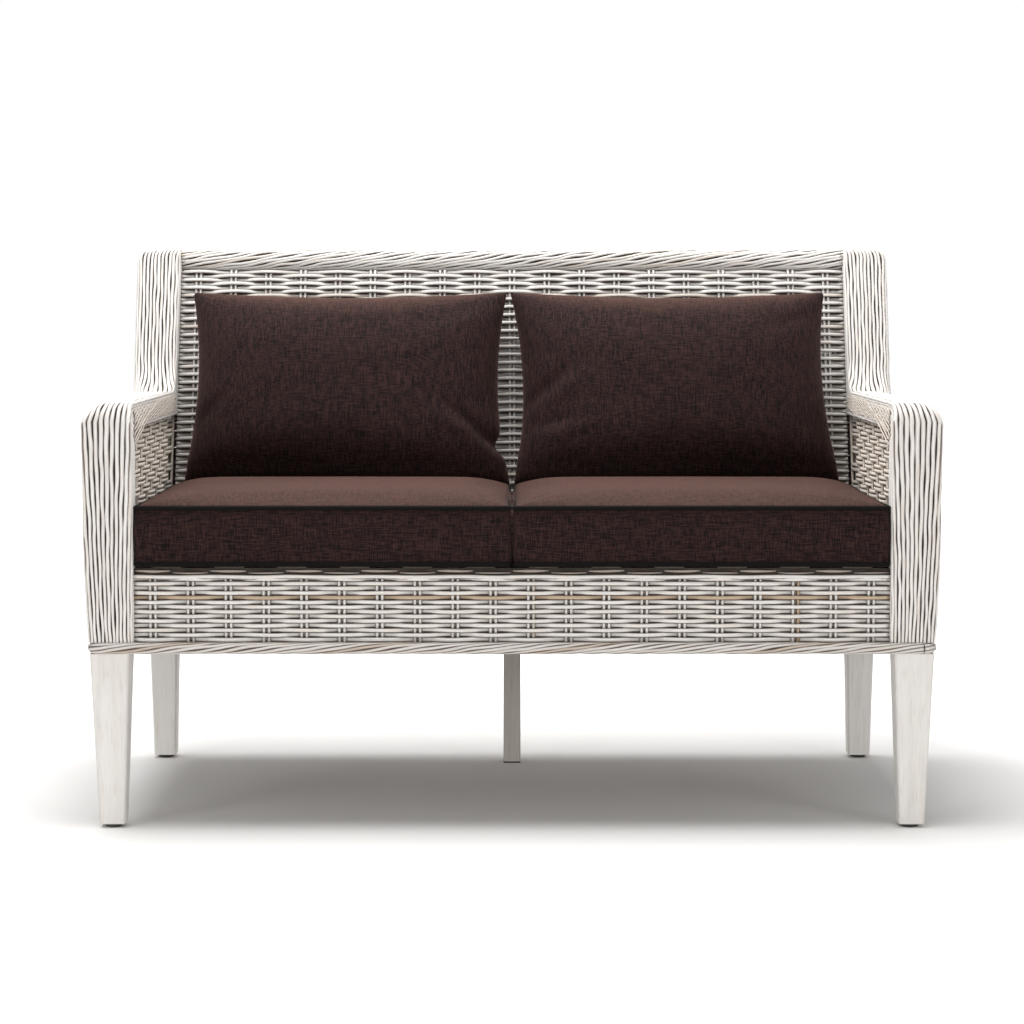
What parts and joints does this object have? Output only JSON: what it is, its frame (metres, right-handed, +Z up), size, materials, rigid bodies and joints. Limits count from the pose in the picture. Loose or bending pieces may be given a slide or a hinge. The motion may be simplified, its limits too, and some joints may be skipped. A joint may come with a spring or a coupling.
{
  "type": "patio loveseat",
  "caption": "Whitewashed wicker loveseat for a patio, with low wrapped arms, a leaning woven back, tapered timber legs and loose dark cushions.",
  "frame": {"origin": "on the floor, under the middle of the loveseat's overall box", "axes": "+X to the viewer's right along the seat, the front faces -Y, +Z up"},
  "size_m": [1.319, 0.702, 0.9088],
  "materials": {
    "wicker": "whitewashed round strands, satin",
    "leg_timber": "whitewashed, fine straight grain, matt",
    "frame_tube": "welded tube, matt",
    "bolt_steel": "plated",
    "black_plastic": "moulded, matt",
    "cushion_cloth": "espresso linen weave, piped",
    "filling": "foam or fibre"
  },
  "bodies": {
    "root": {"apron_edge": "wicker", "arm_rails": "frame_tube", "back_inner_wall": "wicker", "back_mid_rail": "frame_tube", "back_uprights": "frame_tube", "border_front": "wicker", "border_left": "wicker", "border_rear": "wicker", "border_right": "wicker", "centre_leg": "leg_timber", "centre_leg_pad": "black_plastic", "corner_posts": "frame_tube", "front_apron": "wicker", "front_left_glide": "black_plastic", "front_left_leg": "leg_timber", "front_right_glide": "black_plastic", "front_right_leg": "leg_timber", "left_arm_front_wrap": "wicker", "left_arm_inner_wall": "wicker", "left_arm_outer_wall": "wicker", "left_arm_top_wrap": "wicker", "left_rear_corner_wrap": "wicker", "left_wing_side_wall": "wicker", "left_wing_wrap": "wicker", "leg_bolts": "bolt_steel", "lower_centre_rail": "frame_tube", "lower_front_rail": "frame_tube", "lower_left_rail": "frame_tube", "lower_rear_rail": "frame_tube", "lower_right_rail": "frame_tube", "rear_left_glide": "black_plastic", "rear_left_leg": "leg_timber", "rear_mid_rail": "frame_tube", "rear_right_glide": "black_plastic", "rear_right_leg": "leg_timber", "rear_wall": "wicker", "right_arm_front_wrap": "wicker", "right_arm_inner_wall": "wicker", "right_arm_outer_wall": "wicker", "right_arm_top_wrap": "wicker", "right_rear_corner_wrap": "wicker", "right_wing_side_wall": "wicker", "right_wing_wrap": "wicker", "seat_centre_rail": "frame_tube", "seat_centre_strut": "frame_tube", "seat_front_rail": "frame_tube", "seat_left_rail": "frame_tube", "seat_rear_rail": "frame_tube", "seat_right_rail": "frame_tube", "seat_slats": "frame_tube", "top_rail": "frame_tube", "top_roll": "wicker"},
    "left_seat_cushion": {"left_seat_cushion": "cushion_cloth", "left_seat_cushion_filling": "filling"},
    "left_back_cushion": {"left_back_cushion": "cushion_cloth", "left_back_cushion_filling": "filling"},
    "right_seat_cushion": {"right_seat_cushion": "cushion_cloth", "right_seat_cushion_filling": "filling"},
    "right_back_cushion": {"right_back_cushion": "cushion_cloth", "right_back_cushion_filling": "filling"}
  },
  "joints": [
    {"name": "left_seat_slide", "type": "slide", "parent": "root", "child": "left_seat_cushion", "axis": [0, -1, 0], "range_m": [0, 0.55]},
    {"name": "left_back_lift", "type": "slide", "parent": "root", "child": "left_back_cushion", "axis": [0, 0, 1], "range_m": [0, 0.35]},
    {"name": "right_seat_slide", "type": "slide", "parent": "root", "child": "right_seat_cushion", "axis": [0, -1, 0], "range_m": [0, 0.55]},
    {"name": "right_back_lift", "type": "slide", "parent": "root", "child": "right_back_cushion", "axis": [0, 0, 1], "range_m": [0, 0.35]}
  ]
}
